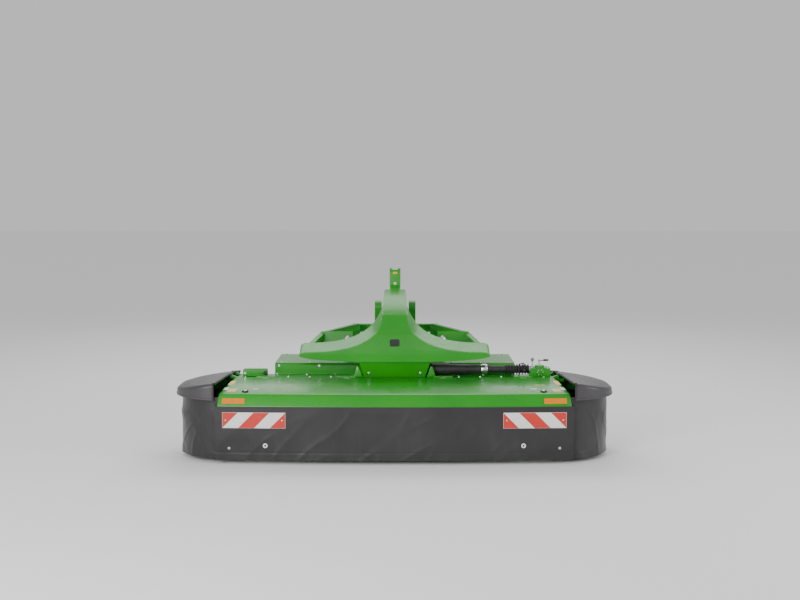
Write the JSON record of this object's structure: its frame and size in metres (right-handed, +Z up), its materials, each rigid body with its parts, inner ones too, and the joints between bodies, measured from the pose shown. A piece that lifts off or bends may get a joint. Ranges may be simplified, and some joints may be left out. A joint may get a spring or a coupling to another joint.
{
  "type": "front-mounted disc mower conditioner",
  "caption": "Front-mounted disc mower conditioner with a tine conditioner, hinged front and side guards on safety curtains, an anchor-shaped headstock, swath doors and parking stands.",
  "frame": {"origin": "on the ground under the middle of the machine", "axes": "+X to the right seen from in front, +Y to the rear towards the tractor, +Z up; the front curtain faces -Y"},
  "size_m": [4, 2.0066, 1.65],
  "materials": {
    "green_paint": "glossy bright green enamel",
    "grey_plastic": "satin charcoal moulded plastic",
    "curtain_fabric": "coated charcoal fabric",
    "black_rubber": "black rubber and plastic",
    "bare_steel": "machined steel",
    "dark_steel": "hardened dark steel",
    "zinc_plate": "bright zinc plate",
    "warning_red": "red and white striped reflective plate",
    "amber_reflector": "amber reflector"
  },
  "bodies": {
    "machine_frame": {"adjusting_crank": "bare_steel", "central_gearbox": "green_paint", "conditioner_housing": "green_paint", "conditioning_plate": "green_paint", "cross_shaft_bellows": "black_rubber", "cross_shaft_guard": "black_rubber", "cutterbar": "green_paint", "deck_frame": "green_paint", "drive_column": "green_paint", "end_plate_left": "green_paint", "end_plate_right": "green_paint", "float_spring_left": "bare_steel", "float_spring_right": "bare_steel", "headstock_arm_left": "green_paint", "headstock_arm_right": "green_paint", "headstock_cover": "green_paint", "headstock_mast": "green_paint", "hitch_frame": "green_paint", "knife_box": "green_paint", "lower_link_pin_left": "bare_steel", "lower_link_pin_right": "bare_steel", "pivot_block": "green_paint", "side_gearbox": "green_paint", "speed_lever": "bare_steel", "spring_cap_left": "zinc_plate", "spring_cap_right": "zinc_plate", "top_link_pin": "bare_steel"},
    "front_guard": {"front_guard_panel": "green_paint", "front_curtain": "curtain_fabric", "warning_plate_left": "warning_red", "warning_plate_right": "warning_red", "reflector_left": "amber_reflector", "reflector_right": "amber_reflector", "latch_left": "black_rubber", "latch_right": "black_rubber"},
    "left_side_guard": {"side_cover_left": "grey_plastic", "side_curtain_left": "curtain_fabric"},
    "right_side_guard": {"side_cover_right": "grey_plastic", "side_curtain_right": "curtain_fabric"},
    "rotor": {"conditioner_rotor": "dark_steel"},
    "input_shaft": {"pto_input": "bare_steel"},
    "left_door": {"swath_door_left": "green_paint"},
    "right_door": {"swath_door_right": "green_paint"},
    "left_stand": {"stand_left": "green_paint"},
    "right_stand": {"stand_right": "green_paint"},
    "cutting_disc_1": {"disc_1": "dark_steel"},
    "cutting_disc_2": {"disc_2": "dark_steel"},
    "cutting_disc_3": {"disc_3": "dark_steel"},
    "cutting_disc_4": {"disc_4": "dark_steel"},
    "cutting_disc_5": {"disc_5": "dark_steel"},
    "cutting_disc_6": {"disc_6": "dark_steel"},
    "cutting_disc_7": {"disc_7": "dark_steel"},
    "cutting_disc_8": {"disc_8": "dark_steel"}
  },
  "joints": [
    {"name": "rotor_spin", "type": "hinge", "parent": "machine_frame", "child": "rotor", "pos_m": [0, 0.08013, 0.42], "axis": [1, 0, 0], "continuous": true},
    {"name": "input_spin", "type": "hinge", "parent": "machine_frame", "child": "input_shaft", "pos_m": [0, 0.1, 0.895], "axis": [0, 1, 0], "continuous": true},
    {"name": "front_guard_hinge", "type": "hinge", "parent": "machine_frame", "child": "front_guard", "pos_m": [0, -0.47, 0.7], "axis": [-1, 0, 0], "range_deg": [0, 60]},
    {"name": "left_side_guard_hinge", "type": "hinge", "parent": "machine_frame", "child": "left_side_guard", "pos_m": [-1.52128, -0.345, 0.723], "axis": [0.1221, 0.9925, 0], "range_deg": [0, 70]},
    {"name": "right_side_guard_hinge", "type": "hinge", "parent": "machine_frame", "child": "right_side_guard", "pos_m": [1.52128, -0.345, 0.723], "axis": [0.1221, -0.9925, 0], "range_deg": [0, 70]},
    {"name": "left_door_hinge", "type": "hinge", "parent": "machine_frame", "child": "left_door", "pos_m": [-1.105, 0.42013, 0.44], "axis": [0, 0, 1], "range_deg": [-20, 20]},
    {"name": "right_door_hinge", "type": "hinge", "parent": "machine_frame", "child": "right_door", "pos_m": [1.105, 0.42013, 0.44], "axis": [0, 0, -1], "range_deg": [-20, 20]},
    {"name": "left_stand_hinge", "type": "hinge", "parent": "machine_frame", "child": "left_stand", "pos_m": [-0.5, 0.86, 0.42], "axis": [0, -1, 0], "range_deg": [0, 90]},
    {"name": "right_stand_hinge", "type": "hinge", "parent": "machine_frame", "child": "right_stand", "pos_m": [0.5, 0.86, 0.42], "axis": [0, 1, 0], "range_deg": [0, 90]},
    {"name": "disc_1_spin", "type": "hinge", "parent": "machine_frame", "child": "cutting_disc_1", "pos_m": [-1.53028, -0.4, 0.1], "axis": [0, 0, 1], "continuous": true},
    {"name": "disc_2_spin", "type": "hinge", "parent": "machine_frame", "child": "cutting_disc_2", "pos_m": [-1.09306, -0.4, 0.1], "axis": [0, 0, 1], "continuous": true},
    {"name": "disc_3_spin", "type": "hinge", "parent": "machine_frame", "child": "cutting_disc_3", "pos_m": [-0.65583, -0.4, 0.1], "axis": [0, 0, 1], "continuous": true},
    {"name": "disc_4_spin", "type": "hinge", "parent": "machine_frame", "child": "cutting_disc_4", "pos_m": [-0.21861, -0.4, 0.1], "axis": [0, 0, 1], "continuous": true},
    {"name": "disc_5_spin", "type": "hinge", "parent": "machine_frame", "child": "cutting_disc_5", "pos_m": [0.21861, -0.4, 0.1], "axis": [0, 0, 1], "continuous": true},
    {"name": "disc_6_spin", "type": "hinge", "parent": "machine_frame", "child": "cutting_disc_6", "pos_m": [0.65583, -0.4, 0.1], "axis": [0, 0, 1], "continuous": true},
    {"name": "disc_7_spin", "type": "hinge", "parent": "machine_frame", "child": "cutting_disc_7", "pos_m": [1.09306, -0.4, 0.1], "axis": [0, 0, 1], "continuous": true},
    {"name": "disc_8_spin", "type": "hinge", "parent": "machine_frame", "child": "cutting_disc_8", "pos_m": [1.53028, -0.4, 0.1], "axis": [0, 0, 1], "continuous": true}
  ],
  "couplings": [
    {"joint": "input_spin", "follows": "rotor_spin", "ratio": 1},
    {"joint": "disc_1_spin", "follows": "rotor_spin", "ratio": 3},
    {"joint": "disc_2_spin", "follows": "rotor_spin", "ratio": -3},
    {"joint": "disc_3_spin", "follows": "rotor_spin", "ratio": 3},
    {"joint": "disc_4_spin", "follows": "rotor_spin", "ratio": -3},
    {"joint": "disc_5_spin", "follows": "rotor_spin", "ratio": 3},
    {"joint": "disc_6_spin", "follows": "rotor_spin", "ratio": -3},
    {"joint": "disc_7_spin", "follows": "rotor_spin", "ratio": 3},
    {"joint": "disc_8_spin", "follows": "rotor_spin", "ratio": -3}
  ]
}
